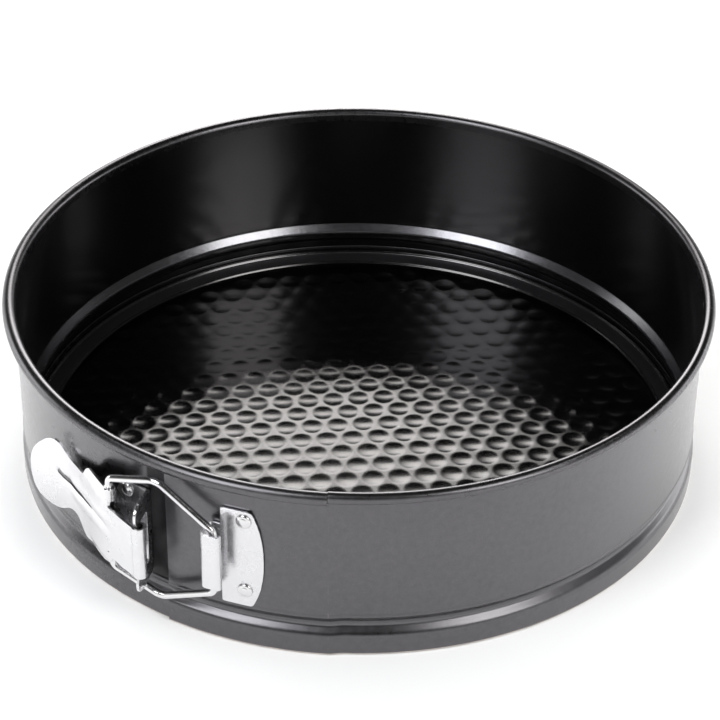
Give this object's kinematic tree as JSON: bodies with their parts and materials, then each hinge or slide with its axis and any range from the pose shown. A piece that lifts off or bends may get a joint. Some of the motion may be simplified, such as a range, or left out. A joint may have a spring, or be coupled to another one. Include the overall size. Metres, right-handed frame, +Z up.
{
  "type": "springform pan",
  "caption": "Round springform cake pan: loose dimpled base, sprung band with rolled rim, over-centre lever and wire bail latch.",
  "frame": {"origin": "centre of the pan on the plane of its flat underside", "axes": "+Z up along the pan's axis; the latch faces -Y, with its lever on the -X side"},
  "size_m": [0.2674, 0.2776, 0.072],
  "materials": {
    "coated_band": "dark grey non-stick coating on steel sheet, satin",
    "coated_base": "near-black non-stick coating on steel sheet, semi-gloss",
    "plated_steel": "bright nickel-plated pressed steel",
    "plated_wire": "bright plated wire",
    "plated_rivet": "bright plated, slightly dulled"
  },
  "bodies": {
    "base": {"base_plate": "coated_base"},
    "ring_left": {"band_left": "coated_band", "hinge_bracket": "plated_steel", "hinge_rivet_upper": "plated_rivet", "hinge_rivet_lower": "plated_rivet"},
    "ring_right": {"band_right": "coated_band", "catch_bracket": "plated_steel", "catch_rivet_upper": "plated_rivet", "catch_rivet_lower": "plated_rivet"},
    "lever": {"latch_lever": "plated_steel"},
    "bail": {"wire_bail": "plated_wire"}
  },
  "joints": [
    {"name": "ring_lift", "type": "slide", "parent": "base", "child": "ring_left", "axis": [0, 0, 1], "range_m": [0, 0.1]},
    {"name": "lever_swing", "type": "hinge", "parent": "ring_left", "child": "lever", "pos_m": [0.00742, -0.14151, 0.0374], "axis": [0, 0, 1], "range_deg": [0, 100]},
    {"name": "bail_swing", "type": "hinge", "parent": "lever", "child": "bail", "pos_m": [-0.00794, -0.13767, 0.0383], "axis": [0, 0, 1], "range_deg": [-67.5, 0]},
    {"name": "band_spring", "type": "hinge", "parent": "ring_left", "child": "ring_right", "pos_m": [-0.00452, 0.12932, 0.036], "axis": [0, 0, 1], "range_deg": [0, 0.52]}
  ],
  "couplings": [
    {"joint": "bail_swing", "follows": "lever_swing", "ratio": -0.665},
    {"joint": "band_spring", "follows": "lever_swing", "ratio": 0.005}
  ]
}
